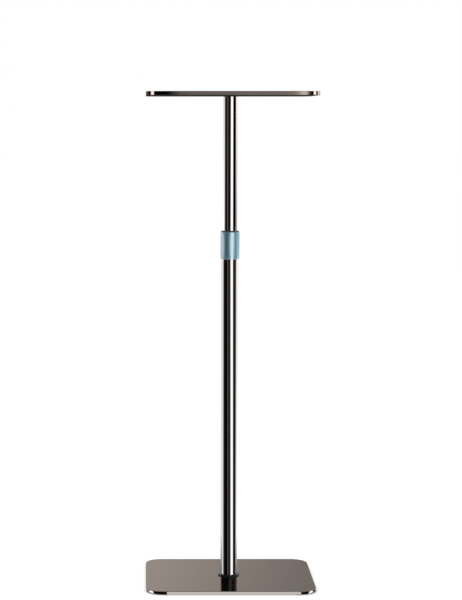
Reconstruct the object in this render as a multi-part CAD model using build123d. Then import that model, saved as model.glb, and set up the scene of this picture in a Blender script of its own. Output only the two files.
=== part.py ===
from build123d import *
import os

# Portable projector stand, in millimetres. The origin is on the floor under the pole's axis, +Z is up,
# -Y is the front. The lock is drawn tightened, with the tray at a usual height.

# Base plate and the pads under it
BASE_WIDTH = 300
BASE_DEPTH = 250
BASE_THICKNESS = 6
BASE_CORNER_RADIUS = 30
BASE_EDGE_BREAK = 0.6
PAD_DIAMETER = 24
PAD_THICKNESS = 1
PAD_INSET = 36

# Tray on top
TRAY_WIDTH = 300
TRAY_DEPTH = 250
TRAY_THICKNESS = 7
TRAY_CORNER_RADIUS = 30
TRAY_EDGE_BREAK = 0.6

# Telescopic pole: the lower tube is sized around the upper one
UPPER_POLE_DIAMETER = 25
UPPER_POLE_WALL = 1.2
UPPER_POLE_LENGTH = 580
POLE_GAP = 1.0
LOWER_POLE_WALL = 1.5
LOWER_POLE_LENGTH = 600
EXTENSION = 238.7

# Ring at the pole's foot
RING_WIDTH = 5
RING_HEIGHT = 2
RING_BEVEL = 1.2

# Plugs in the tube ends and the countersunk screws they take
PLUG_LENGTH = 30
SCREW_DIAMETER = 8
SCREW_LENGTH = 28
SCREW_HEAD_HEIGHT = 4
SCREW_RECESS = 0.3
SOCKET_ACROSS_FLATS = 5
SOCKET_DEPTH = 2.5

# Split grip ring: a spigot in the lower pole, a shoulder on its end, and a cone that is squeezed
GRIP_SPIGOT = 18
GRIP_SHOULDER = 5
GRIP_CONE = 12.5
GRIP_TAPER = 1.0
GRIP_SLIT = 1.2
GRIP_SLIT_CUTS = 3

# Lock collar, screwed down over the lower pole, and the wiper ring pressed into its top
COLLAR_OVERLAP = 26
COLLAR_WALL = 1.7
COLLAR_CHAMFER = 0.8
COLLAR_TAKE_UP = 2
WIPER_DEPTH = 3
WIPER_STEP = 1.2
WIPER_RIM = 0.5
WIPER_CONE = 1.3
WIPER_LIP = 0.8

# Bush on the upper pole's lower end
GLIDE_LENGTH = 27
GLIDE_FLOOR = 3
GLIDE_LIP = 3

# Radial and end clearances
SEAT_CLEARANCE = 0.05
SLIDE_CLEARANCE = 0.15
TURN_CLEARANCE = 0.3
SCREW_CLEARANCE = 0.25

# Radii that follow from the tubes
upper_radius = UPPER_POLE_DIAMETER / 2
upper_bore = upper_radius - UPPER_POLE_WALL
lower_bore = upper_radius + POLE_GAP
lower_radius = lower_bore + LOWER_POLE_WALL
slide_bore = upper_radius + SLIDE_CLEARANCE
collar_bore = lower_radius + TURN_CLEARANCE
collar_radius = collar_bore + COLLAR_WALL
grip_top_radius = lower_radius - GRIP_TAPER
wiper_seat_radius = grip_top_radius + TURN_CLEARANCE + WIPER_STEP

# Heights, from the floor up
base_top = PAD_THICKNESS + BASE_THICKNESS
lower_top = base_top + LOWER_POLE_LENGTH
cone_bottom = lower_top + GRIP_SHOULDER
cone_top = cone_bottom + GRIP_CONE
collar_bottom = lower_top - COLLAR_OVERLAP
wiper_floor = cone_top + COLLAR_TAKE_UP
collar_top = wiper_floor + WIPER_DEPTH
wiper_cone_bottom = collar_top + WIPER_RIM
wiper_top = wiper_cone_bottom + WIPER_CONE
tray_bottom = wiper_top + EXTENSION
tray_top = tray_bottom + TRAY_THICKNESS
upper_bottom = tray_bottom - UPPER_POLE_LENGTH


def turned(*points):
    """Solid of revolution about the pole's axis, from (radius, height) corners."""
    profile = Plane.XZ * make_face(Polyline(*points, close=True))
    return revolve(profile, Axis.Z)


def tube(bore, radius, bottom, top):
    """Round tube with square ends."""
    return turned((bore, bottom), (radius, bottom), (radius, top), (bore, top))


def countersink(radius, bottom, top):
    """Cutter for a countersunk screw whose 90 degree head opens at the top height."""
    cone = SCREW_HEAD_HEIGHT + SCREW_RECESS
    rim = radius + cone
    return turned((0, bottom), (radius, bottom), (radius, top - cone), (rim, top), (0, top))


def plate(width, depth, corner, edge, bottom, thickness):
    """Flat plate with rounded corners and both of its rims broken by a small chamfer."""
    body = Pos(0, 0, bottom) * extrude(RectangleRounded(width, depth, corner), thickness)
    rims = body.edges().group_by(Axis.Z)
    return chamfer(rims[0] + rims[-1], edge)


def screw():
    """Countersunk socket screw, head up, with the face of its head at height zero."""
    radius = SCREW_DIAMETER / 2
    head = radius + SCREW_HEAD_HEIGHT
    neck = -SCREW_HEAD_HEIGHT
    body = turned((0, -SCREW_LENGTH), (radius, -SCREW_LENGTH), (radius, neck), (head, 0), (0, 0))
    socket = RegularPolygon(SOCKET_ACROSS_FLATS / 2, 6, major_radius=False)
    return body - extrude(socket, -SOCKET_DEPTH)


def plug(bore, bottom):
    """Round plug for a tube end, drilled through for the screw."""
    radius = bore - SEAT_CLEARANCE
    hole = SCREW_DIAMETER / 2 + SEAT_CLEARANCE
    top = bottom + PLUG_LENGTH
    return turned((hole, bottom), (radius, bottom), (radius, top), (hole, top))


def base_plate():
    body = plate(BASE_WIDTH, BASE_DEPTH, BASE_CORNER_RADIUS, BASE_EDGE_BREAK, PAD_THICKNESS, BASE_THICKNESS)
    hole = countersink(SCREW_DIAMETER / 2 + SCREW_CLEARANCE, -base_top, -PAD_THICKNESS)
    return body - Rot(180, 0, 0) * hole


def foot_pad(side, end):
    """Rubber disc under one corner of the base; side and end are -1 or 1."""
    place = Pos(side * (BASE_WIDTH / 2 - PAD_INSET), end * (BASE_DEPTH / 2 - PAD_INSET), 0)
    return place * extrude(Circle(PAD_DIAMETER / 2), PAD_THICKNESS)


def base_screw():
    return Pos(0, 0, PAD_THICKNESS + SCREW_RECESS) * Rot(180, 0, 0) * screw()


def pole_ring():
    bore = lower_radius + SEAT_CLEARANCE
    outer = lower_radius + RING_WIDTH
    top = base_top + RING_HEIGHT
    body = turned((bore, base_top), (outer, base_top), (outer, top), (bore, top))
    rim = body.edges().filter_by(GeomType.CIRCLE).group_by(Axis.Z)[-1].sort_by(SortBy.RADIUS)[-1]
    return chamfer(rim, RING_BEVEL)


def grip_ring():
    spigot = lower_bore - SEAT_CLEARANCE
    body = turned(
        (slide_bore, lower_top - GRIP_SPIGOT),
        (spigot, lower_top - GRIP_SPIGOT),
        (spigot, lower_top),
        (lower_radius, lower_top),
        (lower_radius, cone_bottom),
        (grip_top_radius, cone_top),
        (slide_bore, cone_top),
    )
    blade = Pos(0, 0, cone_bottom + GRIP_CONE / 2) * Box(GRIP_SLIT, 4 * lower_radius, GRIP_CONE)
    return body - [Rot(0, 0, turn * 180 / GRIP_SLIT_CUTS) * blade for turn in range(GRIP_SLIT_CUTS)]


def lock_collar():
    body = turned(
        (collar_bore, collar_bottom),
        (collar_radius, collar_bottom),
        (collar_radius, collar_top),
        (wiper_seat_radius, collar_top),
        (wiper_seat_radius, wiper_floor),
        (grip_top_radius + TURN_CLEARANCE, wiper_floor),
        (grip_top_radius + TURN_CLEARANCE, cone_top),
        (collar_bore, cone_bottom),
    )
    rims = body.edges().filter_by(GeomType.CIRCLE).group_by(SortBy.RADIUS)[-1]
    return chamfer(rims, COLLAR_CHAMFER)


def wiper_ring():
    bore = upper_radius + TURN_CLEARANCE
    seat = wiper_seat_radius - SEAT_CLEARANCE
    rim = collar_radius - COLLAR_CHAMFER
    return turned(
        (bore, wiper_floor),
        (seat, wiper_floor),
        (seat, collar_top),
        (rim, collar_top),
        (rim, wiper_cone_bottom),
        (bore + WIPER_LIP, wiper_top),
        (bore, wiper_top),
    )


def glide_bush():
    outer = lower_bore - SLIDE_CLEARANCE
    seat = upper_bottom - SLIDE_CLEARANCE
    hole = upper_bore - GLIDE_LIP
    return turned(
        (hole, seat - GLIDE_FLOOR),
        (outer, seat - GLIDE_FLOOR),
        (outer, upper_bottom + GLIDE_LENGTH),
        (slide_bore, upper_bottom + GLIDE_LENGTH),
        (slide_bore, seat),
        (hole, seat),
    )


def tray_plate():
    body = plate(TRAY_WIDTH, TRAY_DEPTH, TRAY_CORNER_RADIUS, TRAY_EDGE_BREAK, tray_bottom, TRAY_THICKNESS)
    return body - countersink(SCREW_DIAMETER / 2 + SCREW_CLEARANCE, tray_bottom, tray_top)


pieces = {
    "base_plate": base_plate(),
    "foot_pad_front_left": foot_pad(-1, -1),
    "foot_pad_front_right": foot_pad(1, -1),
    "foot_pad_rear_left": foot_pad(-1, 1),
    "foot_pad_rear_right": foot_pad(1, 1),
    "base_screw": base_screw(),
    "foot_plug": plug(lower_bore, base_top),
    "pole_ring": pole_ring(),
    "lower_pole": tube(lower_bore, lower_radius, base_top, lower_top),
    "grip_ring": grip_ring(),
    "lock_collar": lock_collar(),
    "wiper_ring": wiper_ring(),
    "glide_bush": glide_bush(),
    "upper_pole": tube(upper_bore, upper_radius, upper_bottom, tray_bottom),
    "top_plug": plug(upper_bore, tray_bottom - PLUG_LENGTH),
    "tray_plate": tray_plate(),
    "tray_screw": Pos(0, 0, tray_top - SCREW_RECESS) * screw(),
}

os.makedirs("parts", exist_ok=True)
for name, piece in pieces.items():
    export_step(piece, f"parts/{name}.step")
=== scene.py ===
# %% [markdown]
# # A portable projector stand in plated metal
#
# The stand is a heavy floor plate, a round telescopic pole with a twist lock, and a flat tray. Its solids
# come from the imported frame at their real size, standing on the floor at the origin with the front towards
# -Y. This lesson gives them their looks: smooth meshes for the surfaces that mirror the room, a finish for
# every piece, and the room itself, because polished metal is mostly a picture of what stands around it.

# %% Load the frame
import math

import bpy
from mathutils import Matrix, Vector


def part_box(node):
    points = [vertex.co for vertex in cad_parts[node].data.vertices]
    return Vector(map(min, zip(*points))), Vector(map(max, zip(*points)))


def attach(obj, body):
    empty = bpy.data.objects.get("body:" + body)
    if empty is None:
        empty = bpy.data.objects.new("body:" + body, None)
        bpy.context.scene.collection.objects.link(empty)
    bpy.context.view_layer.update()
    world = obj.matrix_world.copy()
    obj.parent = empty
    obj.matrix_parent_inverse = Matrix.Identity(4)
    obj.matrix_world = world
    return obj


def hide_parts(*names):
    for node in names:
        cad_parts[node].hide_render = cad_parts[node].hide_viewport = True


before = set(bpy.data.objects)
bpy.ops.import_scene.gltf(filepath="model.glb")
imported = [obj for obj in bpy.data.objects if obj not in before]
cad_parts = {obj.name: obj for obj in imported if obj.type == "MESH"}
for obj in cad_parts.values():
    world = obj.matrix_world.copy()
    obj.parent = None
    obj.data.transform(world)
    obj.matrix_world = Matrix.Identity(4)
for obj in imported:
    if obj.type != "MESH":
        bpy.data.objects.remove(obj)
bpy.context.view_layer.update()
scene = bpy.context.scene
scene.view_settings.view_transform = "Standard"
MM = 0.001

# %% [markdown]
# ## The camera
#
# A long lens stands a few metres away, a little below the tray and well above the base, so the tray shows a
# sliver of its underside and the base a shallow view of its top. It looks straight along +Y and tilts down.
# The stand sits right of the lens axis. Turning the camera to it would tip the plates' level edges, so a
# small sideways shift of the lens frames it instead.

# %% Camera
CAMERA_PLACE = Vector((-152.3, -3436.0, 832.3)) * MM
CAMERA_TILT_DOWN = math.radians(5.41)
CAMERA_LENS_MM = 115.8
CAMERA_SHIFT_X = 0.144

camera_data = bpy.data.cameras.new("camera")
camera = bpy.data.objects.new("camera", camera_data)
scene.collection.objects.link(camera)
camera.location = CAMERA_PLACE
camera.rotation_euler = (math.pi / 2 - CAMERA_TILT_DOWN, 0, 0)
camera_data.lens = CAMERA_LENS_MM
camera_data.shift_x = CAMERA_SHIFT_X
scene.camera = camera
print("camera at", [round(value, 3) for value in camera.location])

# %% [markdown]
# ## Tools for finishes
#
# Colours are written as sRGB hex values, as on a paint card, and turned into the linear values that shaders
# work with. One function adds a node with its settings and links, and every finish is built from it, from
# the place on the surface through a pattern to the shader. Patterns are sized in millimetres: a Mapping
# node scales Object coordinates so that one unit of the pattern is that long.

# %% Colour, node and pattern helpers
def linear(hex_colour):
    """sRGB hex to linear RGBA, by the curve of the sRGB standard."""
    values = [int(hex_colour[i:i + 2], 16) / 255 for i in (1, 3, 5)]
    return [v / 12.92 if v <= 0.04045 else ((v + 0.055) / 1.055) ** 2.4 for v in values] + [1.0]


def node(tree, kind, inputs=(), **settings):
    """Adds one node. Its inputs are listed in the order of its sockets, or named in a dict; each is a
    value, a socket, or a node whose first output feeds it."""
    made = tree.nodes.new(kind)
    for name, value in settings.items():
        setattr(made, name, value)
    for key, value in inputs.items() if isinstance(inputs, dict) else enumerate(inputs):
        if isinstance(value, bpy.types.Node):
            value = value.outputs[0]
        if isinstance(value, bpy.types.NodeSocket):
            tree.links.new(value, made.inputs[key])
        else:
            made.inputs[key].default_value = value
    return made


def new_finish(name):
    """A material, its node tree, and the socket that gives the place on the piece."""
    material = bpy.data.materials.new(name)
    material.use_nodes = True
    tree = material.node_tree
    tree.nodes.clear()
    return material, tree, node(tree, "ShaderNodeTexCoord").outputs["Object"]


def per_unit(*sizes_mm):
    """Mapping scale that makes one unit of a pattern this long along X, Y and Z."""
    return [1 / (size * MM) for size in sizes_mm]


def tint(ramp, colours):
    """Gives the stops of a colour ramp their colours."""
    for stop, colour in zip(ramp.elements, colours):
        stop.color = linear(colour)


print("black is", linear("#000000"), "and white is", linear("#ffffff"))

# %% [markdown]
# ## Bright plating on the tubes
#
# The poles are drawn steel tube, buffed along its length and plated bright. What the eye gets is a slightly
# warm grey mirror that draws the room into narrow upright stripes. Buffing leaves faint streaks along the
# tube. They could be bump, but that would bend the stripes, so a noise stretched along the tube changes the
# tone and the gloss a little. Gloss is set by its opposite: the shader's Roughness is 0 for a mirror.
# Most of a noise lies near its middle, and a Map Range spreads that part over the whole range of roughness.

# %% Tube finish
STREAK_MM = (1.2, 1.2, 220)
NOISE_SPREAD = (0.3, 0.7)
TUBE_ROUGHNESS = (0.006, 0.013)
TUBE_TONES = ("#cac7c5", "#bcb9b7")

tube_plating, tree, place = new_finish("nickel_plated_buffed_tube")
along = node(tree, "ShaderNodeMapping", {"Vector": place, "Scale": per_unit(*STREAK_MM)})
streaks = node(tree, "ShaderNodeTexNoise", {"Vector": along, "Scale": 1.0, "Detail": 3.0})
roughness = node(tree, "ShaderNodeMapRange", (streaks, *NOISE_SPREAD, *TUBE_ROUGHNESS))
tone = node(tree, "ShaderNodeValToRGB", {"Fac": streaks})
tint(tone.color_ramp, TUBE_TONES)
metal = node(tree, "ShaderNodeBsdfPrincipled", {"Base Color": tone, "Metallic": 1.0, "Roughness": roughness})
node(tree, "ShaderNodeOutputMaterial", {"Surface": metal})
print("finish", tube_plating.name)

# %% [markdown]
# ## Black nickel on the base plate
#
# The plate is steel, fine-ground and plated with black nickel: a dark, warm mirror that is softer than the
# tube's, so the pole's image in it has blurred edges. It stays warm at a low angle too, which is what the
# specular tint does on metal. Real grinding lines are a few hundredths of a millimetre apart and can't be
# seen one by one; here they are drawn half a millimetre apart so that they show at all. A slow cloud in the
# gloss is the haze that handling leaves on every dark mirror.

# %% Base plate finish
GUNMETAL = "#938b86"
LOW_ANGLE_TINT = "#f2e9e3"
GRIND_LINE_MM = (80, 0.5, 0.5)
GRIND_DEPTH_MM = 0.0015
GRIND_STRENGTH = 0.6
PLATE_ROUGHNESS = (0.09, 0.13)
HAZE_MM = (45, 45, 45)


def gunmetal_plate(name, grain_mm, depth_mm, strength, roughness_range):
    """Dark, warm metal with a fine grain in relief and a slow haze in its gloss."""
    finish, tree, place = new_finish(name)
    fine = node(tree, "ShaderNodeMapping", {"Vector": place, "Scale": per_unit(*grain_mm)})
    grain = node(tree, "ShaderNodeTexNoise", {"Vector": fine, "Scale": 1.0, "Detail": 2.0})
    depth = depth_mm * MM
    relief = node(tree, "ShaderNodeBump", {"Strength": strength, "Distance": depth, "Height": grain})
    broad = node(tree, "ShaderNodeMapping", {"Vector": place, "Scale": per_unit(*HAZE_MM)})
    haze = node(tree, "ShaderNodeTexNoise", {"Vector": broad, "Scale": 1.0, "Detail": 4.0})
    roughness = node(tree, "ShaderNodeMapRange", (haze, *NOISE_SPREAD, *roughness_range))
    metal = node(tree, "ShaderNodeBsdfPrincipled", {
        "Base Color": linear(GUNMETAL),
        "Metallic": 1.0,
        "Specular Tint": linear(LOW_ANGLE_TINT),
        "Roughness": roughness,
        "Normal": relief,
    })
    node(tree, "ShaderNodeOutputMaterial", {"Surface": metal})
    print("finish", name)
    return finish


plate_plating = gunmetal_plate(
    "black_nickel_ground_plate", GRIND_LINE_MM, GRIND_DEPTH_MM, GRIND_STRENGTH, PLATE_ROUGHNESS
)

# %% [markdown]
# ## The plate's milled edge
#
# Round the plate the plating is brighter: the cutter left a cleaner surface there, with fine lines that run
# along the edge. It gives the eye a thin pale line under the dark top. The cutter's lines could be modelled,
# but they are far finer than a pixel, so a noise squeezed in height draws them in the gloss alone, a quarter
# of a millimetre apart, coarser than real ones, so that they show.

# %% Edge finish
MILL_LINE_MM = (30, 30, 0.25)
EDGE_ROUGHNESS = (0.05, 0.11)


def milled_edge(name, colour, roughness_range):
    """Metal with a cutter's lines along the edge, drawn in its gloss."""
    finish, tree, place = new_finish(name)
    along = node(tree, "ShaderNodeMapping", {"Vector": place, "Scale": per_unit(*MILL_LINE_MM)})
    lines = node(tree, "ShaderNodeTexNoise", {"Vector": along, "Scale": 1.0, "Detail": 1.0})
    roughness = node(tree, "ShaderNodeMapRange", (lines, *NOISE_SPREAD, *roughness_range))
    metal = node(tree, "ShaderNodeBsdfPrincipled", {
        "Base Color": linear(colour),
        "Metallic": 1.0,
        "Roughness": roughness,
    })
    node(tree, "ShaderNodeOutputMaterial", {"Surface": metal})
    print("finish", name)
    return finish


edge_plating = milled_edge("nickel_plated_milled_edge", "#c2bbb6", EDGE_ROUGHNESS)

# %% [markdown]
# ## Gunmetal anodising on the tray
#
# The tray is aluminium, anodised gunmetal to match the base. Its top is satin: blasting before the dye bath
# leaves a fine even grain that scatters the light. It could be roughness alone, but a little relief keeps the
# surface from looking like film. The grain is drawn a third of a millimetre wide, coarser than the real one,
# so that it shows. The base's function serves here too, with this grain and a broader gloss.

# %% Tray top finish
BLAST_GRAIN_MM = (0.35, 0.35, 0.35)
BLAST_DEPTH_MM = 0.003
BLAST_STRENGTH = 0.5
SATIN_ROUGHNESS = (0.36, 0.44)

tray_satin = gunmetal_plate(
    "gunmetal_anodised_satin_plate", BLAST_GRAIN_MM, BLAST_DEPTH_MM, BLAST_STRENGTH, SATIN_ROUGHNESS
)

# %% [markdown]
# The tray's edge was polished before the dye and mirrors the room sharply. It keeps a trace of the cutter's
# lines, the same size as on the base, as a very small change of gloss.

# %% Tray edge finish
POLISH_ROUGHNESS = (0.008, 0.018)

tray_edge = milled_edge("gunmetal_anodised_polished_edge", "#938680", POLISH_ROUGHNESS)

# %% [markdown]
# The tray's underside, which nobody looks at, is powder coated matt black. The powder melts into low, broad
# bumps, and what the eye gets is one dark surface with no highlight, so the shader's specular level is
# nearly nothing. Its near-black colour is also painted shade: it keeps the underside and the rim next to it
# as dark as the shade under the tray.

# %% Tray underside finish
COAT_GRAIN_MM = (0.6, 0.6, 0.6)
COAT_DEPTH_MM = 0.02

# The near-black base colour is partly painted shade for the tray's underside.
tray_under, tree, place = new_finish("matt_black_coat_with_painted_shade")
fine = node(tree, "ShaderNodeMapping", {"Vector": place, "Scale": per_unit(*COAT_GRAIN_MM)})
grain = node(tree, "ShaderNodeTexNoise", {"Vector": fine, "Scale": 1.0, "Detail": 3.0})
relief = node(tree, "ShaderNodeBump", {"Strength": 0.5, "Distance": COAT_DEPTH_MM * MM, "Height": grain})
coat = node(tree, "ShaderNodeBsdfPrincipled", {
    "Base Color": linear("#2c2a29"),
    "Specular IOR Level": 0.05,
    "Roughness": 0.85,
    "Normal": relief,
})
node(tree, "ShaderNodeOutputMaterial", {"Surface": coat})
print("finish", tray_under.name)

# %% [markdown]
# ## Blue anodising on the lock collar
#
# The collar is turned aluminium, anodised pale blue and sealed. The dye sits in a hard clear layer over the
# metal: the body looks teal, and the layer's own reflection is white. A blue mirror would tint its
# highlights too, so the shader is rough blue metal under a clear coat. The coat is stronger than real oxide,
# matched to the bright band on the collar. The lathe tool leaves rings round it. A wave draws them half a
# millimetre apart, coarser than real ones, so that they show; its bands repeat every tenth of pi of a unit.

# %% Collar finish
WAVE_REPEAT = math.pi / 10
FULL_SPREAD = (0.0, 1.0)
TURNING_PITCH_MM = 0.5
TURNING_DEPTH_MM = 0.0012
COLLAR_ROUGHNESS = (0.58, 0.66)

collar_blue, tree, place = new_finish("blue_anodised_turned_aluminium")
pitch = TURNING_PITCH_MM / WAVE_REPEAT
upward = node(tree, "ShaderNodeMapping", {"Vector": place, "Scale": per_unit(pitch, pitch, pitch)})
rings = node(tree, "ShaderNodeTexWave", {"Vector": upward, "Scale": 1.0}, bands_direction="Z").outputs["Fac"]
roughness = node(tree, "ShaderNodeMapRange", (rings, *FULL_SPREAD, *COLLAR_ROUGHNESS))
relief = node(tree, "ShaderNodeBump", {"Strength": 0.5, "Distance": TURNING_DEPTH_MM * MM, "Height": rings})
metal = node(tree, "ShaderNodeBsdfPrincipled", {
    "Base Color": linear("#89c9dc"),
    "Metallic": 1.0,
    "Roughness": roughness,
    "Normal": relief,
    "Coat Weight": 1.0,
    "Coat IOR": 3.4,
    "Coat Roughness": 0.05,
})
node(tree, "ShaderNodeOutputMaterial", {"Surface": metal})
print("finish", collar_blue.name)

# %% [markdown]
# ## Dark plating on the foot ring
#
# The ring that trims the pole's foot is turned steel with a nearly black plating: glossy, a little cool, and
# dark enough to draw a line between the bright tube and the plate. The lathe left rings on it too, closer
# than the collar's. They lie round the axis on its top, so the wave runs outwards from the axis.

# %% Ring finish
RING_PITCH_MM = 0.3
RING_ROUGHNESS = (0.1, 0.18)

ring_plating, tree, place = new_finish("black_plated_turned_steel")
pitch = RING_PITCH_MM / WAVE_REPEAT
outward = node(tree, "ShaderNodeMapping", {"Vector": place, "Scale": per_unit(pitch, pitch, pitch)})
scaled = {"Vector": outward, "Scale": 1.0}
rings = node(tree, "ShaderNodeTexWave", scaled, wave_type="RINGS", rings_direction="Z").outputs["Fac"]
roughness = node(tree, "ShaderNodeMapRange", (rings, *FULL_SPREAD, *RING_ROUGHNESS))
metal = node(tree, "ShaderNodeBsdfPrincipled", {
    "Base Color": linear("#2a3132"),
    "Metallic": 1.0,
    "Roughness": roughness,
})
node(tree, "ShaderNodeOutputMaterial", {"Surface": metal})
print("finish", ring_plating.name)

# %% [markdown]
# ## Acetal in the lock
#
# The wiper, the grip ring and the bush are moulded acetal: dark and waxy, with the fine grain of a
# spark-worn mould, drawn a quarter of a millimetre wide so that it shows. The eye gets a soft, broken
# highlight, which one noise gives through both the gloss and a shallow bump.

# %% Acetal finish
MOULD_GRAIN_MM = (0.25, 0.25, 0.25)
MOULD_DEPTH_MM = 0.006
ACETAL_ROUGHNESS = (0.34, 0.5)

acetal, tree, place = new_finish("black_acetal_moulded")
fine = node(tree, "ShaderNodeMapping", {"Vector": place, "Scale": per_unit(*MOULD_GRAIN_MM)})
grain = node(tree, "ShaderNodeTexNoise", {"Vector": fine, "Scale": 1.0, "Detail": 2.0})
roughness = node(tree, "ShaderNodeMapRange", (grain, *FULL_SPREAD, *ACETAL_ROUGHNESS))
relief = node(tree, "ShaderNodeBump", {"Strength": 0.5, "Distance": MOULD_DEPTH_MM * MM, "Height": grain})
plastic = node(tree, "ShaderNodeBsdfPrincipled", {
    "Base Color": linear("#2a2c2e"),
    "Roughness": roughness,
    "Normal": relief,
})
node(tree, "ShaderNodeOutputMaterial", {"Surface": plastic})
print("finish", acetal.name)

# %% [markdown]
# ## Rubber under the base
#
# The pads are moulded black rubber, matt and a little dusty. Dust lies in soft patches some millimetres
# wide, so a broad noise leads the colour from black to a warm grey, and a fine one is the moulded grain.

# %% Rubber finish
DUST_MM = (6, 6, 6)
RUBBER_GRAIN_MM = (0.5, 0.5, 0.5)
RUBBER_DEPTH_MM = 0.03
RUBBER_TONES = ("#161616", "#2b2a28")

rubber, tree, place = new_finish("black_rubber_moulded")
broad = node(tree, "ShaderNodeMapping", {"Vector": place, "Scale": per_unit(*DUST_MM)})
dust = node(tree, "ShaderNodeTexNoise", {"Vector": broad, "Scale": 1.0, "Detail": 4.0})
tone = node(tree, "ShaderNodeValToRGB", {"Fac": dust})
tint(tone.color_ramp, RUBBER_TONES)
fine = node(tree, "ShaderNodeMapping", {"Vector": place, "Scale": per_unit(*RUBBER_GRAIN_MM)})
grain = node(tree, "ShaderNodeTexNoise", {"Vector": fine, "Scale": 1.0, "Detail": 3.0})
relief = node(tree, "ShaderNodeBump", {"Strength": 0.6, "Distance": RUBBER_DEPTH_MM * MM, "Height": grain})
sole = node(tree, "ShaderNodeBsdfPrincipled", {
    "Base Color": tone,
    "Specular IOR Level": 0.3,
    "Roughness": 0.8,
    "Normal": relief,
})
node(tree, "ShaderNodeOutputMaterial", {"Surface": sole})
print("finish", rubber.name)

# %% [markdown]
# ## Blackened steel for screws and plugs
#
# The screws and plugs are steel, blackened in a hot oxide bath, which leaves them dark grey and mottled. The
# mottle changes colour and gloss together, so one noise drives both.

# %% Screw finish
OXIDE_MM = (1.8, 1.8, 1.8)
OXIDE_ROUGHNESS = (0.28, 0.46)
OXIDE_TONES = ("#626266", "#868588")

black_steel, tree, place = new_finish("blackened_steel")
broad = node(tree, "ShaderNodeMapping", {"Vector": place, "Scale": per_unit(*OXIDE_MM)})
mottle = node(tree, "ShaderNodeTexNoise", {"Vector": broad, "Scale": 1.0, "Detail": 4.0})
tone = node(tree, "ShaderNodeValToRGB", {"Fac": mottle})
tint(tone.color_ramp, OXIDE_TONES)
roughness = node(tree, "ShaderNodeMapRange", (mottle, *FULL_SPREAD, *OXIDE_ROUGHNESS))
metal = node(tree, "ShaderNodeBsdfPrincipled", {"Base Color": tone, "Metallic": 1.0, "Roughness": roughness})
node(tree, "ShaderNodeOutputMaterial", {"Surface": metal})
print("finish", black_steel.name)

# %% [markdown]
# ## Modelling by hand, from code
#
# The frame's solids are fine for fit, but their round faces are made of flats, and a mirror shows every
# flat. So each piece that shows is modelled again as a smooth mesh of the same size. It starts as a
# primitive at its place; faces and edges are then picked by where they are or which way they face, and
# shaped with the same operators as by hand.

# %% Modelling helpers
PLACE_TOLERANCE = 0.01 * MM


def begin(name):
    """The object just added becomes a named piece with its place in its mesh."""
    piece = bpy.context.active_object
    piece.name = name
    bpy.ops.object.transform_apply(location=True, rotation=True, scale=True)
    return piece


def alone(piece):
    """Leaves edit mode and makes this piece the only selected and active one."""
    if bpy.context.mode != "OBJECT":
        bpy.ops.object.mode_set(mode="OBJECT")
    bpy.ops.object.select_all(action="DESELECT")
    piece.select_set(True)
    bpy.context.view_layer.objects.active = piece


def pick(piece, kind, test):
    """Selects the faces or edges that pass the test, and leaves the piece in edit mode."""
    alone(piece)
    bpy.ops.object.mode_set(mode="EDIT")
    bpy.ops.mesh.select_mode(type=kind)
    bpy.ops.mesh.select_all(action="DESELECT")
    bpy.ops.object.mode_set(mode="OBJECT")
    mesh = piece.data
    for item in mesh.polygons if kind == "FACE" else mesh.edges:
        item.select = bool(test(item, [mesh.vertices[i].co for i in item.vertices]))
    bpy.ops.object.mode_set(mode="EDIT")


def at(value, target):
    """Whether a length is the target."""
    return abs(value - target) < PLACE_TOLERANCE


def bevel(size, steps):
    """Bevels the selected edges."""
    bpy.ops.mesh.bevel(offset=size, segments=steps, affect="EDGES", offset_type="OFFSET")


bpy.ops.object.select_all(action="DESELECT")
print("nothing is selected:", not bpy.context.selected_objects)

# %% [markdown]
# A finished mesh is closed, has no doubled points and points outwards. Shading is smooth below 40 degrees.
# Smooth shading alone would bend the mirror of a flat face near its bevels, so the Weighted Normal modifier
# lets broad or strong faces win where they meet small ones. Then the piece takes its finishes and rides on
# its body in place of the solid.

# %% Finishing helpers
MERGE_DISTANCE = 0.001 * MM
SMOOTH_BELOW = math.radians(40)


def close_up(piece):
    """Merges doubled points and turns all faces outwards."""
    alone(piece)
    bpy.ops.object.mode_set(mode="EDIT")
    bpy.ops.mesh.select_all(action="SELECT")
    bpy.ops.mesh.remove_doubles(threshold=MERGE_DISTANCE)
    bpy.ops.mesh.normals_make_consistent(inside=False)
    bpy.ops.object.mode_set(mode="OBJECT")


def smooth(piece):
    """Smooth shading with the broad faces kept flat."""
    close_up(piece)
    bpy.ops.object.shade_smooth_by_angle(angle=SMOOTH_BELOW)
    bpy.ops.object.modifier_add(type="WEIGHTED_NORMAL")
    piece.modifiers[-1].keep_sharp = True
    piece.modifiers[-1].use_face_influence = True
    bpy.ops.object.modifier_apply(modifier=piece.modifiers[-1].name)


def dress(piece, solid, slot, body, *finishes):
    """Gives the piece its finishes and puts it on its body in place of the solid."""
    piece.data.materials.clear()
    for finish in finishes:
        piece.data.materials.append(finish)
    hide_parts(solid)
    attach(piece, body)
    print("piece", piece.name, "faces", len(piece.data.polygons))


def radius_of(solid):
    """Outer radius of a round solid."""
    low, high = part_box(solid)
    return (high.x - low.x) / 2


print("pole radii in mm:", [round(radius_of(name) / MM, 2) for name in ("lower_pole", "upper_pole")])

# %% [markdown]
# ## The two tubes
#
# The lower pole is fixed in the base and the upper one slides in it. A tube could be a cylinder with a
# Solidify modifier; insetting the caps to the bore, taking them out and bridging the two holes gives the
# exact wall with clean ends. A small bevel breaks the cut ends, as a deburring tool does.

# %% Tube helpers
ROUND_SIDES = 128
TUBE_RIM = 0.3 * MM
TUBE_RIM_STEPS = 2
POLE_AXIS = Vector((0, 0, 0))
FLAT = 0.99


def bevel_rim(piece, radius, height, size, steps, axis=POLE_AXIS):
    """Bevels the round rim of that radius at that height, round an upright axis through a point."""

    def on_rim(edge, ends):
        return all(at(end.z, height) and at((end - axis).xy.length, radius) for end in ends)

    pick(piece, "EDGE", on_rim)
    bevel(size, steps)


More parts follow.
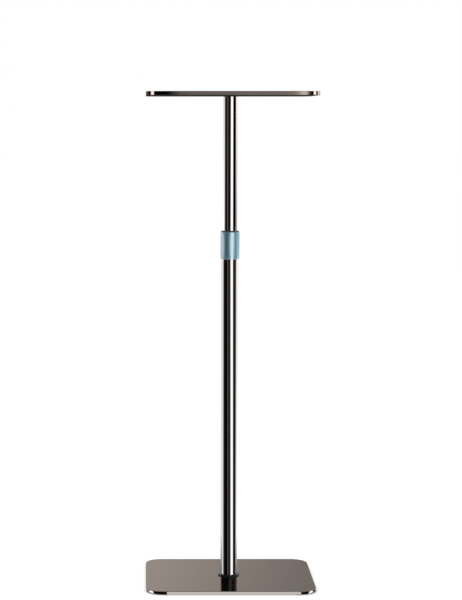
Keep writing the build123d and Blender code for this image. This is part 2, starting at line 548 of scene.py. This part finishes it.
def round_tube(name, solid, wall):
    """A cylinder whose caps are inset to the bore, taken out, and joined by an inner wall."""
    low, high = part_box(solid)
    middle = (0, 0, (low.z + high.z) / 2)
    bpy.ops.object.select_all(action="DESELECT")
    bpy.ops.mesh.primitive_cylinder_add(
        vertices=ROUND_SIDES, radius=radius_of(solid), depth=high.z - low.z, location=middle
    )
    piece = begin(name)
    pick(piece, "FACE", lambda face, corners: abs(face.normal.z) > FLAT)
    bpy.ops.mesh.inset(thickness=wall)
    bpy.ops.mesh.delete(type="FACE")
    bpy.ops.mesh.select_mode(type="EDGE")
    bpy.ops.mesh.select_all(action="DESELECT")
    bpy.ops.mesh.select_non_manifold()
    bpy.ops.mesh.bridge_edge_loops()
    for height in (low.z, high.z):
        bevel_rim(piece, radius_of(solid), height, TUBE_RIM, TUBE_RIM_STEPS)
    return piece


print("a round piece has", ROUND_SIDES, "sides")

# %% [markdown]
# Both tubes are made alike, each with the wall of its own solid. The lower one stays with the base and the
# upper one moves with the mast.

# %% Tubes
TUBES = (  # solid, wall and body
    ("lower_pole", 1.5 * MM, "base"),
    ("upper_pole", 1.2 * MM, "mast"),
)

for solid, wall, body in TUBES:
    tube = round_tube(solid + "_tube", solid, wall)
    smooth(tube)
    dress(tube, solid, "plated_tube", body, tube_plating)

# %% [markdown]
# ## Turned pieces
#
# The lock collar, its wiper and the foot ring are lathe work: one outline turned about the axis. The outline
# is drawn as by hand, by extruding a single point from corner to corner, and then spun once round. Spin can
# leave a mesh inside out and its last seam open, so points are merged and normals recalculated afterwards.

# %% Turning helper
def turned(name, outline):
    """Spins a closed outline of (radius, height) corners about the pole's axis."""
    radius, height = outline[0]
    bpy.ops.object.select_all(action="DESELECT")
    bpy.ops.mesh.primitive_plane_add(size=MM, location=(radius, 0, height))
    piece = begin(name)
    bpy.ops.object.mode_set(mode="EDIT")
    bpy.ops.mesh.select_mode(type="VERT")
    bpy.ops.mesh.select_all(action="SELECT")
    bpy.ops.mesh.merge(type="CENTER")
    for start, end in zip(outline, outline[1:] + outline[:1]):
        step = (end[0] - start[0], 0, end[1] - start[1])
        bpy.ops.mesh.extrude_region_move(TRANSFORM_OT_translate={"value": step})
    bpy.ops.mesh.select_all(action="SELECT")
    bpy.ops.mesh.remove_doubles(threshold=MERGE_DISTANCE)
    bpy.ops.mesh.spin(steps=ROUND_SIDES, angle=2 * math.pi, center=POLE_AXIS, axis=(0, 0, 1))
    close_up(piece)
    return piece


print("a turned piece steps", 360 / ROUND_SIDES, "degrees at a time")

# %% [markdown]
# The foot ring trims the joint between pole and base. Its outer top edge is a quarter round. The arc could
# be points in the outline; one wide bevel with many steps draws it evenly. The inner edge stays sharp
# against the tube.

# %% Foot ring
RING_ROUND = 1.6 * MM
RING_ROUND_STEPS = 8
SEAT_CLEARANCE = 0.05 * MM

ring_low, ring_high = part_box("pole_ring")
ring_radius = radius_of("pole_ring")
ring_bore = radius_of("lower_pole") + SEAT_CLEARANCE
foot_ring = turned(
    "foot_ring",
    [
        (ring_bore, ring_low.z),
        (ring_radius, ring_low.z),
        (ring_radius, ring_high.z),
        (ring_bore, ring_high.z),
    ],
)
bevel_rim(foot_ring, ring_radius, ring_high.z, RING_ROUND, RING_ROUND_STEPS)
smooth(foot_ring)
dress(foot_ring, "pole_ring", "plated_ring", "base", ring_plating)

# %% [markdown]
# The collar is a sleeve over the lower pole with a cone inside that squeezes the grip ring, and a step at
# its top for the wiper. Outside it is plain, with a crisp chamfer at both ends. A perfectly sharp edge
# catches no light, so the chamfer's own edges are just broken, and each draws a thin line of light.

# %% Lock collar
TURN_CLEARANCE = 0.3 * MM
COLLAR_CHAMFER = 0.8 * MM
CHAMFER_STEPS = 1
COLLAR_EDGE_BREAK = 0.12 * MM
EDGE_BREAK_STEPS = 2
WIPER_STEP = 1.2 * MM
TAKE_UP = 2 * MM
GRIP_CONE = 12.5 * MM
GRIP_TAPER = 1 * MM

collar_low, collar_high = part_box("lock_collar")
wiper_low, wiper_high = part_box("wiper_ring")
collar_radius = radius_of("lock_collar")
collar_bore = radius_of("lower_pole") + TURN_CLEARANCE
cone_bore = collar_bore - GRIP_TAPER
cone_top = wiper_low.z - TAKE_UP
seat_bore = cone_bore + WIPER_STEP
collar = turned(
    "twist_collar",
    [
        (collar_bore, collar_low.z),
        (collar_radius, collar_low.z),
        (collar_radius, collar_high.z),
        (seat_bore, collar_high.z),
        (seat_bore, wiper_low.z),
        (cone_bore, wiper_low.z),
        (cone_bore, cone_top),
        (collar_bore, cone_top - GRIP_CONE),
    ],
)
for height in (collar_low.z, collar_high.z):
    bevel_rim(collar, collar_radius, height, COLLAR_CHAMFER, CHAMFER_STEPS)
for end, inward in ((collar_low.z, 1), (collar_high.z, -1)):
    bevel_rim(collar, collar_radius - COLLAR_CHAMFER, end, COLLAR_EDGE_BREAK, EDGE_BREAK_STEPS)
    bevel_rim(collar, collar_radius, end + inward * COLLAR_CHAMFER, COLLAR_EDGE_BREAK, EDGE_BREAK_STEPS)
smooth(collar)
dress(collar, "lock_collar", "blue_anodised", "collar", collar_blue)

# %% [markdown]
# The wiper sits in that step and keeps dust off the sliding pole. Above the collar it is a low cone that
# narrows to a lip round the pole. It is moulded, so its three upper edges are eased a little.

# %% Wiper ring
WIPER_RIM = 0.5 * MM
WIPER_LIP = 0.8 * MM
WIPER_EASE = 0.2 * MM
WIPER_EASE_STEPS = 3

wiper_radius = radius_of("wiper_ring")
wiper_bore = radius_of("upper_pole") + TURN_CLEARANCE
wiper_seat = seat_bore - SEAT_CLEARANCE
lip_radius = wiper_bore + WIPER_LIP
rim_height = collar_high.z + WIPER_RIM
wiper = turned(
    "pole_wiper",
    [
        (wiper_bore, wiper_low.z),
        (wiper_seat, wiper_low.z),
        (wiper_seat, collar_high.z),
        (wiper_radius, collar_high.z),
        (wiper_radius, rim_height),
        (lip_radius, wiper_high.z),
        (wiper_bore, wiper_high.z),
    ],
)
for radius, height in ((wiper_radius, rim_height), (lip_radius, wiper_high.z), (wiper_bore, wiper_high.z)):
    bevel_rim(wiper, radius, height, WIPER_EASE, WIPER_EASE_STEPS)
smooth(wiper)
dress(wiper, "wiper_ring", "black_plastic", "collar", acetal)

# %% [markdown]
# ## The two plates
#
# Base and tray are flat plates with large round corners and a small round along both rims. A box gets its
# four upright edges bevelled far and then both rims bevelled a little. The hole for the screw is cut with a
# turned cutter and a Boolean modifier, because the cone of the head crosses the flat face. The flat faces
# are marked as strong for the Weighted Normal modifier, so that they mirror as true flats right up to the
# rims.

# %% Plate helpers
CORNER_RADIUS = 30 * MM
CORNER_STEPS = 24
RIM_STEPS = 4
SCREW_HOLE_RADIUS = 4.25 * MM
SCREW_HEAD_OPENING = 8.55 * MM
CUTTER_OVERRUN = 2 * MM
UPRIGHT = 0.05


def rounded_plate(name, solid, rim):
    """A box with its four upright edges rounded far and both rims rounded a little."""
    low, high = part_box(solid)
    bpy.ops.object.select_all(action="DESELECT")
    bpy.ops.mesh.primitive_cube_add(size=1, location=(low + high) / 2, scale=high - low)
    piece = begin(name)
    pick(piece, "EDGE", lambda edge, ends: not at(ends[0].z, ends[1].z))
    bevel(CORNER_RADIUS, CORNER_STEPS)
    pick(piece, "EDGE", lambda edge, ends: at(ends[0].z, ends[1].z))
    bevel(rim, RIM_STEPS)
    bpy.ops.object.mode_set(mode="OBJECT")
    return piece


def countersink(piece, face, far):
    """Cuts the screw's hole from one face height to the other, with a 90 degree cone at the first."""
    inward = 1 if far > face else -1
    neck = face + inward * (SCREW_HEAD_OPENING - SCREW_HOLE_RADIUS)
    cutter = turned(
        "screw_cutter",
        [
            (0, face - inward * CUTTER_OVERRUN),
            (SCREW_HEAD_OPENING + CUTTER_OVERRUN, face - inward * CUTTER_OVERRUN),
            (SCREW_HOLE_RADIUS, neck),
            (SCREW_HOLE_RADIUS, far + inward * CUTTER_OVERRUN),
            (0, far + inward * CUTTER_OVERRUN),
        ],
    )
    alone(piece)
    bpy.ops.object.modifier_add(type="BOOLEAN")
    cut = piece.modifiers[-1]
    cut.operation = "DIFFERENCE"
    cut.object = cutter
    bpy.ops.object.modifier_apply(modifier=cut.name)
    bpy.data.objects.remove(cutter)


def keep_flat(piece):
    """Marks the level and upright faces as strong and the rims as weak, so that flats keep their normals."""
    pick(piece, "FACE", lambda face, corners: not UPRIGHT < abs(face.normal.z) < FLAT)
    bpy.ops.mesh.mod_weighted_strength(set=True, face_strength="STRONG")
    bpy.ops.mesh.select_all(action="INVERT")
    bpy.ops.mesh.mod_weighted_strength(set=True, face_strength="WEAK")


print("corners turn", 90 / CORNER_STEPS, "degrees a step")

# %% [markdown]
# The base is screwed from below. Each face takes its finish by the way it looks: the top with its rim, and
# the flat underside, are black nickel; the side, the rim under it and the screw's hole show the milled edge.

# %% Base plate
BASE_RIM = 0.9 * MM

base_low, base_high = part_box("base_plate")
base = rounded_plate("base_slab", "base_plate", BASE_RIM)
countersink(base, base_low.z, base_high.z)
keep_flat(base)
smooth(base)
dress(base, "base_plate", "plated_steel_plate", "base", plate_plating, edge_plating)
for face in base.data.polygons:
    face.material_index = 1 if -FLAT < face.normal.z < UPRIGHT else 0

# %% [markdown]
# The tray is screwed from above and has tighter rims, so that its polished side keeps nearly the plate's
# whole height. The flat top is satin, the underside and the rim next to it are matt black, and the rest is
# the polished edge.

# %% Tray
TRAY_RIM = 0.45 * MM

tray_low, tray_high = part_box("tray_plate")
tray = rounded_plate("tray_slab", "tray_plate", TRAY_RIM)
countersink(tray, tray_high.z, tray_low.z)
keep_flat(tray)
smooth(tray)
dress(tray, "tray_plate", "gunmetal_aluminium", "mast", tray_satin, tray_edge, tray_under)
for face in tray.data.polygons:
    face.material_index = 0 if face.normal.z > FLAT else 2 if face.normal.z < -UPRIGHT else 1

# %% [markdown]
# ## The feet
#
# Four rubber pads keep the plate off the floor. Each is a thin disc with rings moulded into its sole, made by
# insetting the sole again and again and pushing every other ring in. One pad is modelled and copied to the
# other corners, each copy with its own mesh.

# %% First pad
PAD_SIDES = 64
PAD_LAND = 1.6 * MM
PAD_GROOVE = 0.8 * MM
PAD_SLOPE = 0.25 * MM
PAD_GROOVE_DEPTH = 0.35 * MM
PAD_GROOVES = 3
PAD_RIM = 0.2 * MM
PAD_RIM_STEPS = 2
PADS = ("foot_pad_front_left", "foot_pad_front_right", "foot_pad_rear_left", "foot_pad_rear_right")

pad_low, pad_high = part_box(PADS[0])
pad_middle = (pad_low + pad_high) / 2
pad_radius = radius_of(PADS[0])
bpy.ops.object.select_all(action="DESELECT")
bpy.ops.mesh.primitive_cylinder_add(
    vertices=PAD_SIDES, radius=pad_radius, depth=pad_high.z - pad_low.z, location=pad_middle
)
first_pad = begin("pad_" + PADS[0].removeprefix("foot_pad_"))
pick(first_pad, "FACE", lambda face, corners: face.normal.z < -FLAT)
bpy.ops.mesh.inset(thickness=PAD_LAND)
for groove in range(PAD_GROOVES):
    bpy.ops.mesh.inset(thickness=PAD_SLOPE, depth=-PAD_GROOVE_DEPTH)
    bpy.ops.mesh.inset(thickness=PAD_GROOVE)
    bpy.ops.mesh.inset(thickness=PAD_SLOPE, depth=PAD_GROOVE_DEPTH)
    bpy.ops.mesh.inset(thickness=PAD_LAND)
bevel_rim(first_pad, pad_radius, pad_low.z, PAD_RIM, PAD_RIM_STEPS, pad_middle)
smooth(first_pad)
print("first pad has", PAD_GROOVES, "grooves in its sole")

# %% [markdown]
# Blender refuses to apply the place of a copy that shares its mesh, so each copy is a full one. It is moved
# by the distance between its solid and the first one's, and its place then goes into its mesh.

# %% All four pads
pads = [first_pad]
for solid in PADS[1:]:
    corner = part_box(solid)[0]
    alone(first_pad)
    bpy.ops.object.duplicate()
    bpy.ops.transform.translate(value=corner - pad_low)
    pads.append(begin("pad_" + solid.removeprefix("foot_pad_")))
for pad, solid in zip(pads, PADS):
    dress(pad, solid, "pad_rubber", "base", rubber)

# %% [markdown]
# ## Solids that stay
#
# The screws, plugs, grip ring and bush keep their solids: they show only as a screw's head, or at the gap
# round the pole, where flats can't be told from rounds. They get the finishes above.

# %% Finishes on the solids
KEPT_SOLIDS = {
    "base_screw": black_steel,
    "tray_screw": black_steel,
    "foot_plug": black_steel,
    "top_plug": black_steel,
    "grip_ring": acetal,
    "glide_bush": acetal,
}
for solid, finish in KEPT_SOLIDS.items():
    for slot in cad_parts[solid].material_slots:
        slot.material = finish
print("solids dressed:", ", ".join(KEPT_SOLIDS))

# %% [markdown]
# ## The floor
#
# The floor is matt white and runs into a white backdrop. More light would make it white and wash out the
# stand too, so the floor glows a little for the camera alone: it and the backdrop are then one white, and it
# still holds the stand's shadow.

# %% Floor
FLOOR_SIZE = 80
FLOOR_LIFT = 0.14

bpy.ops.object.select_all(action="DESELECT")
bpy.ops.mesh.primitive_plane_add(size=FLOOR_SIZE)
floor = begin("floor")
floor_white, tree, place = new_finish("matt_white_floor")
floor.data.materials.append(floor_white)
path = node(tree, "ShaderNodeLightPath").outputs
lift = node(tree, "ShaderNodeMath", (path["Is Camera Ray"], FLOOR_LIFT), operation="MULTIPLY")
matt = node(tree, "ShaderNodeBsdfPrincipled", {
    "Base Color": linear("#f2f2f2"),
    "Specular IOR Level": 0.0,
    "Roughness": 1.0,
    "Emission Color": linear("#ffffff"),
    "Emission Strength": lift,
})
print("floor", FLOOR_SIZE, "m across")

# %% [markdown]
# A mirror close to the floor, as the base's edge is, sees it as glowing white paper with cards painted round
# the two front corners: a round corner shows a wide sweep of the room in a few millimetres, and the black and
# bright cards paint a clean dark line and a glint into its reflection. A grey disc painted under each of
# these corners darkens the lowest part of that reflection. Lamps and objects could do this too, but would
# change the light on everything else.

# %% Cards on the floor
FLOOR_CARDS_MM = (  # limits on X, limits on Y, brightness
    ((-158, -113), (-200, -125), 0.0),
    ((124, 160), (-200, -126), 0.0),
    ((-190, -130), (-125, -109), 2.0),
    ((130, 190), (-126, -110), 2.0),
    ((-190, -140), (-109, -90), 0.4),
    ((140, 190), (-110, -90), 0.0),
)
DISC_CENTRES_MM = ((-127, -98, 0), (127, -98, 0))
DISC_RADIUS = 31 * MM
DISC_LEVEL = 0.3

floor_place = node(tree, "ShaderNodeSeparateXYZ", {"Vector": place}).outputs
paper = 1.0
# Painted reflections: each card and disc sets how bright near mirrors see the floor's glow.
for across, along, level in FLOOR_CARDS_MM:
    inside = 1.0
    for socket, (first, last) in ((floor_place["X"], across), (floor_place["Y"], along)):
        centre = (first + last) / 2 * MM
        reach = (last - first) / 2 * MM
        within = node(tree, "ShaderNodeMath", (socket, centre, reach), operation="COMPARE")
        inside = node(tree, "ShaderNodeMath", (within, inside), operation="MULTIPLY")
    paper = node(tree, "ShaderNodeMix", {"Factor": inside, "A": paper, "B": level})
for centre_mm in DISC_CENTRES_MM:
    centre = [value * MM for value in centre_mm]
    away = node(tree, "ShaderNodeVectorMath", (place, centre), operation="DISTANCE").outputs["Value"]
    inside = node(tree, "ShaderNodeMath", (away, DISC_RADIUS), operation="LESS_THAN")
    paper = node(tree, "ShaderNodeMix", {"Factor": inside, "A": paper, "B": DISC_LEVEL})
print("on the floor:", len(FLOOR_CARDS_MM), "cards and", len(DISC_CENTRES_MM), "discs")

# %% [markdown]
# A mirror further up sees the painted room instead, so for long glossy rays the floor is clear. The base and
# its pads are kept out of mirrors, where they would cover the cards.

# %% What mirrors see of the floor
NEAR = 30 * MM

white = node(tree, "ShaderNodeEmission", {"Color": linear("#ffffff"), "Strength": paper})
clear = node(tree, "ShaderNodeBsdfTransparent")
far = node(tree, "ShaderNodeMath", (path["Ray Length"], NEAR), operation="GREATER_THAN")
mirrored = node(tree, "ShaderNodeMixShader", (far, white, clear))
shown = node(tree, "ShaderNodeMixShader", (path["Is Glossy Ray"], matt, mirrored))
node(tree, "ShaderNodeOutputMaterial", {"Surface": shown})
for piece in (base, *pads):
    piece.visible_glossy = False
print("mirrors see the floor up to", NEAR / MM, "mm away")

# %% [markdown]
# ## Light
#
# One large soft lamp from the front left models the matt pieces and gives the floor a soft shadow. Mirrors
# don't see it: what they see is painted into the room.

# %% Lamp
LAMP_PLACE = Vector((-2.0, -2.4, 3.0))
LAMP_AIM = Vector((0, 0, 0.3))
LAMP_SIZE = 2.0
LAMP_WATTS = 40

lamp_data = bpy.data.lights.new("soft_lamp", "AREA")
lamp_data.size = LAMP_SIZE
lamp_data.energy = LAMP_WATTS
lamp = bpy.data.objects.new("soft_lamp", lamp_data)
scene.collection.objects.link(lamp)
lamp.location = LAMP_PLACE
lamp.rotation_euler = (LAMP_AIM - LAMP_PLACE).to_track_quat("-Z", "Y").to_euler()
lamp.visible_glossy = False
print("lamp", LAMP_WATTS, "W")

# %% [markdown]
# ## The room, painted into the world
#
# A studio for polished metal is a room of cards: white walls behind and beside, black flags in front, and
# one bright box beside the lens. Planes could be set up for it, but a room painted into the world by
# direction is quicker to adjust and casts no shadows. A direction is its compass angle from the front,
# positive to the right, and its height above the horizon. Paper white is 1. Only mirrors see this room: for
# the camera and for matt surfaces it is plain white.

# %% Directions
world = bpy.data.worlds.new("studio")
scene.world = world
world.use_nodes = True
tree = world.node_tree
tree.nodes.clear()
way = node(tree, "ShaderNodeTexCoord").outputs["Generated"]
parts = node(tree, "ShaderNodeSeparateXYZ", {"Vector": way}).outputs
ahead = node(tree, "ShaderNodeMath", (parts["Y"], -1.0), operation="MULTIPLY")
compass = node(tree, "ShaderNodeMath", (parts["X"], ahead), operation="ARCTAN2")
height = node(tree, "ShaderNodeMath", (parts["Z"],), operation="ARCSINE")
print("directions take", len(tree.nodes), "nodes")

# %% [markdown]
# A row of cards is a colour ramp round the compass. Cards brighter than paper would leave a ramp's usual
# range of 0 to 1, so all are painted as shares of the brightest, and the world's strength brings them back.

# %% Card helpers
BRIGHTEST = 3.6


def angles(degrees):
    """Degrees as radians."""
    return [math.radians(angle) for angle in degrees]


def paint(ramp, stops, first, last):
    """Sets a colour ramp's grey stops, given in degrees between first and last and in brightness."""
    ramp.elements.remove(ramp.elements[-1])
    for number, (angle, brightness) in enumerate(stops):
        position = (angle - first) / (last - first)
        grey = brightness / BRIGHTEST
        stop = ramp.elements[0] if number == 0 else ramp.elements.new(position)
        stop.position = position
        stop.color = (grey, grey, grey, 1)


print("the brightest card is", BRIGHTEST, "times paper white")

# %% [markdown]
# An upright mirror sends a ray on at the slope at which it came, so each height on the pole shows one low
# band of the room. Two rows of cards make these bands, one for the upper pole and one for the lower. Both
# lean a little, as hung cards do, which makes the stripes drift along the poles.

# %% Cards for the poles
POLE_SPAN = (-125, 125)
LEAN_LIMITS = (-15, 3)
UPPER_LEAN = 1.2
LOWER_LEAN = 2.0
UPPER_CARDS = (
    (-120, 1.75), (-103, 0.08),  # white wall on the left
    (-80, 0.06), (-72, 0.0), (-55, 0.0),  # black flag
    (-52, 0.22), (-44, 0.22),  # narrow grey card
    (-39, 0.012), (2, 0.012),  # black flag
    (6, 1.84), (41.5, 1.84),  # bright box beside the lens
    (44, 0.0), (96, 0.0),  # black flag
    (104, 1.12), (114, 1.0),  # white wall on the right
)
LOWER_CARDS = (
    (-114, 1.25), (-108, 0.03),  # white wall on the left
    (-85, 0.02), (-75, 0.0), (-50, 0.0),  # black flag
    (-47, 0.15), (-39, 0.15),  # narrow grey card
    (-36, 0.02), (-7, 0.06), (-2.5, 0.2),  # black flag with some stray light
    (-0.5, 1.84), (29.5, 1.84),  # bright box beside the lens
    (32, 0.02), (78, 0.03),  # black flag
    (87, 1.3), (106, 1.3), (120, 1.7),  # white wall on the right
)

held = node(tree, "ShaderNodeClamp", (height, *angles(LEAN_LIMITS)))
rows = []
for lean, stops in ((LOWER_LEAN, LOWER_CARDS), (UPPER_LEAN, UPPER_CARDS)):
    leaned = node(tree, "ShaderNodeMath", (held, lean, compass), operation="MULTIPLY_ADD")
    around = node(tree, "ShaderNodeMapRange", (leaned, *angles(POLE_SPAN)))
    row = node(tree, "ShaderNodeValToRGB", {"Fac": around})
    paint(row.color_ramp, stops, *POLE_SPAN)
    rows.append(row)
lower_row, upper_row = rows
print("cards painted:", len(LOWER_CARDS), "and", len(UPPER_CARDS), "stops")

# %% [markdown]
# Beside the upper pole the white walls aren't even: the right one gets brighter upwards and the left one
# downwards. Each change is a factor that holds only at its own side of the compass. Between the two poles
# one row fades into the other.

# %% Walls beside the poles
WALL_HEIGHTS = (-3.4, 0.6)
WALL_FADES = (  # compass limits, factors at the two heights
    ((86, 96), (0.58, 1.6)),
    ((-96, -106), (1.15, 0.75)),
)
ROW_SPLIT = (-4.3, -3.2)

for limits, levels in WALL_FADES:
    beside = node(tree, "ShaderNodeMapRange", (compass, *angles(limits)))
    faded = node(tree, "ShaderNodeMapRange", (height, *angles(WALL_HEIGHTS), *levels))
    factor = node(tree, "ShaderNodeMix", {"Factor": beside, "A": 1.0, "B": faded})
    upper_row = node(tree, "ShaderNodeMath", (upper_row, factor), operation="MULTIPLY")
above_split = node(tree, "ShaderNodeMapRange", (height, *angles(ROW_SPLIT)))
pole_cards = node(tree, "ShaderNodeMix", {"Factor": above_split, "A": lower_row, "B": upper_row})
print("walls fade on", len(WALL_FADES), "sides")

# %% [markdown]
# Towards the foot the pole's outermost edges would mirror the dark plate that they stand on instead of the
# white walls, so there the walls are dimmed. Straight behind hangs a black flag, which the plates' side rims
# mirror as a thin dark outline. How far behind a direction points is its Y, which is 1 straight behind.

# %% Walls behind
FOOT_BEHIND = (0.1, 0.5)
FOOT_FALL = (-13.3, -12.3)
FOOT_DIM = 0.25
FLAG_BEHIND = (0.91, 0.95)
FLAG_DIM = 0.08

outermost = node(tree, "ShaderNodeMapRange", (parts["Y"], *FOOT_BEHIND))
lowered = node(tree, "ShaderNodeMapRange", (height, *angles(FOOT_FALL), FOOT_DIM, 1.0))
foot_share = node(tree, "ShaderNodeMix", {"Factor": outermost, "A": 1.0, "B": lowered})
flag_share = node(tree, "ShaderNodeMapRange", (parts["Y"], *FLAG_BEHIND, 1.0, FLAG_DIM))
wall_share = node(tree, "ShaderNodeMath", (foot_share, flag_share), operation="MULTIPLY")
pole_cards = node(tree, "ShaderNodeMath", (pole_cards, wall_share), operation="MULTIPLY")
print("walls dim to", FOOT_DIM, "at the floor")

# %% [markdown]
# The collar has a row of its own, as tall as the band of the room that the collar's wall shows. The cards
# have soft edges: the sealed surface draws bands that run into each other where the tubes draw stripes.

# %% Cards for the collar
COLLAR_SPAN = (-130, 130)
COLLAR_BOTTOM = (-4.19, -4.165)
COLLAR_TOP = (-3.4, -3.365)
COLLAR_CARDS = (
    (-125, 0.85), (-101, 1.3), (-88, 1.2), (-78, 0.75), (-68, 0.22),  # white wall on the left
    (-57, 0.0), (-31, 0.0),  # black flag
    (-19, 0.2), (-8, 0.7), (4, 1.5), (14, 1.75), (30, 1.78), (41, 0.98), (54, 0.36),  # soft box
    (68, 0.04),  # narrow black flag
    (82, 0.46), (100, 0.6), (124, 0.72),  # grey wall on the right
)

around = node(tree, "ShaderNodeMapRange", (compass, *angles(COLLAR_SPAN)))
collar_cards = node(tree, "ShaderNodeValToRGB", {"Fac": around})
paint(collar_cards.color_ramp, COLLAR_CARDS, *COLLAR_SPAN)
over_bottom = node(tree, "ShaderNodeMapRange", (height, *angles(COLLAR_BOTTOM)))
under_top = node(tree, "ShaderNodeMapRange", (height, *angles(COLLAR_TOP), 1.0, 0.0))
collar_row = node(tree, "ShaderNodeMath", (over_bottom, under_top), operation="MULTIPLY")
low_cards = node(tree, "ShaderNodeMix", {"Factor": collar_row, "A": pole_cards, "B": collar_cards})
print("cards for the collar:", len(COLLAR_CARDS), "stops")

# %% [markdown]
# Another row hangs at the tray's level. The tray's polished front mirrors a narrow slice of it, from black
# at the left over grey to bright at the right. Each round corner sweeps over half the room, so bright strips
# on either side draw glints in a dark corner. A ramp has a fixed number of steps, so left, front and right
# are three ramps, which makes the narrow front one fine enough.

# %% Cards for the tray's edge
TRAY_LEVEL = (0.633, 0.65)
TRAY_LEFT_CARDS = (
    (-180, 0.2), (-157, 0.25), (-145, 0.27), (-125, 0.1), (-112, 0.02),  # grey wall behind
    (-93, 0.0), (-87.4, 3.6), (-69.4, 3.6), (-63.4, 0.0),  # bright strip between black flags
)
TRAY_FRONT_CARDS = (
    (0.62, 0.0), (0.7, 0.025), (0.76, 0.08), (0.9, 0.2), (1.05, 0.34),  # edge of the black flag
    (1.4, 0.41), (2.8, 0.46), (4.2, 0.5),  # grey card
    (4.4, 0.58), (4.5, 0.76), (4.6, 1.15), (4.7, 1.7),  # edge of the bright card
)
TRAY_RIGHT_CARDS = (
    (20, 1.7), (26, 1.25), (32, 0.64), (39, 0.33), (47, 0.15), (55, 0.04),  # bright card, fading
    (62, 0.0), (70, 0.0), (76, 3.6), (92.5, 3.6), (96, 0.05), (111, 0.05),  # strip between flags
    (119, 2.7), (128, 2.5), (138, 1.1), (158, 0.6), (169, 0.5),  # white wall, fading to the back
)
TRAY_ROW = (  # compass limits of a ramp, its stops
    ((-180, 0), TRAY_LEFT_CARDS),
    ((0, 8), TRAY_FRONT_CARDS),
    ((8, 170), TRAY_RIGHT_CARDS),
)

tray_cards = 0.0
for span, stops in TRAY_ROW:
    first, last = angles(span)
    around = node(tree, "ShaderNodeMapRange", (compass, first, last))
    row = node(tree, "ShaderNodeValToRGB", {"Fac": around})
    paint(row.color_ramp, stops, *span)
    beyond = node(tree, "ShaderNodeMath", (compass, first), operation="GREATER_THAN")
    tray_cards = node(tree, "ShaderNodeMix", {"Factor": beyond, "A": tray_cards, "B": row})
above_poles = node(tree, "ShaderNodeMapRange", (height, *angles(TRAY_LEVEL)))
cards = node(tree, "ShaderNodeMix", {"Factor": above_poles, "A": low_cards, "B": tray_cards})
print("cards at the tray's level:", [len(stops) for span, stops in TRAY_ROW], "stops")

# %% [markdown]
# Above the cards, what the base's top mirrors is the wall behind, which falls off to the right. What it
# mirrors of the pole is the pole's dark front, where the flags reach up some way. Higher up the room is
# grey, brighter on the right, with a darker ceiling that draws a thin dark line along the plates' rims.

# %% Upper room
CARD_TOP = (3, 8)
FLAG_TOP = (17, 22)
FLAG_SHARE = 0.045
BEHIND = (0.6, 0.9)
WALL_FALL = (0.0, 0.085)
WALL_LEVELS = (0.72, 0.39)
SIDES_FROM = (0.3, 0.8)
SIDE_LEVELS = (0.5, 1.4)
CEILING_FROM = (0.64, 0.82)
CEILING_LEVEL = 0.3


def share(levels):
    """Brightness as a share of the brightest card."""
    return [level / BRIGHTEST for level in levels]


flags = node(tree, "ShaderNodeMath", (pole_cards, FLAG_SHARE), operation="MULTIPLY")
sides = node(tree, "ShaderNodeMapRange", (parts["X"], *SIDES_FROM, *share(SIDE_LEVELS)))
overhead = node(tree, "ShaderNodeMapRange", (parts["Z"], *CEILING_FROM))
ceiling = CEILING_LEVEL / BRIGHTEST
room_front = node(tree, "ShaderNodeMix", {"Factor": overhead, "A": sides, "B": ceiling})
over_flags = node(tree, "ShaderNodeMapRange", (height, *angles(FLAG_TOP)))
front = node(tree, "ShaderNodeMix", {"Factor": over_flags, "A": flags, "B": room_front})
back_wall = node(tree, "ShaderNodeMapRange", (parts["X"], *WALL_FALL, *share(WALL_LEVELS)))
behind = node(tree, "ShaderNodeMapRange", (parts["Y"], *BEHIND))
upper_room = node(tree, "ShaderNodeMix", {"Factor": behind, "A": front, "B": back_wall})
over_cards = node(tree, "ShaderNodeMapRange", (height, *angles(CARD_TOP)))
walls = node(tree, "ShaderNodeMix", {"Factor": over_cards, "A": cards, "B": upper_room})
print("upper room painted, with a ceiling at", CEILING_LEVEL, "of paper white")

# %% [markdown]
# Below the cards lies the floor, in the light on the right and in the shade on the left. An image of the
# cards is mixed into it, as on a glossy floor, so that the tubes keep their stripes when the stand is seen
# from above. From the front only the collar's broad gloss and edges that face down see it.

# %% Lower room
FLOOR_TOP = (-24, -16)
FLOOR_FALL = (-0.5, 0.3)
FLOOR_LEVELS = (0.15, 1.5)
CARD_IMAGE = 0.6

floor_light = node(tree, "ShaderNodeMapRange", (parts["X"], *FLOOR_FALL, *share(FLOOR_LEVELS)))
floor_image = node(tree, "ShaderNodeMix", {"Factor": CARD_IMAGE, "A": floor_light, "B": pole_cards})
over_floor = node(tree, "ShaderNodeMapRange", (height, *angles(FLOOR_TOP)))
room = node(tree, "ShaderNodeMix", {"Factor": over_floor, "A": floor_image, "B": walls})
print("floor of the room painted, with", CARD_IMAGE, "of the cards' image")

# %% [markdown]
# The painted room and a plain white one are mixed by the kind of ray: a glossy ray comes from a mirror and
# gets the painted one.

# %% World output
mirrored = node(tree, "ShaderNodeBackground", {"Color": room, "Strength": BRIGHTEST})
plain = node(tree, "ShaderNodeBackground", {"Color": linear("#ffffff"), "Strength": 1.0})
path = node(tree, "ShaderNodeLightPath").outputs
shown = node(tree, "ShaderNodeMixShader", (path["Is Glossy Ray"], plain, mirrored))
node(tree, "ShaderNodeOutputWorld", {"Surface": shown})
print("the world has", len(tree.nodes), "nodes")
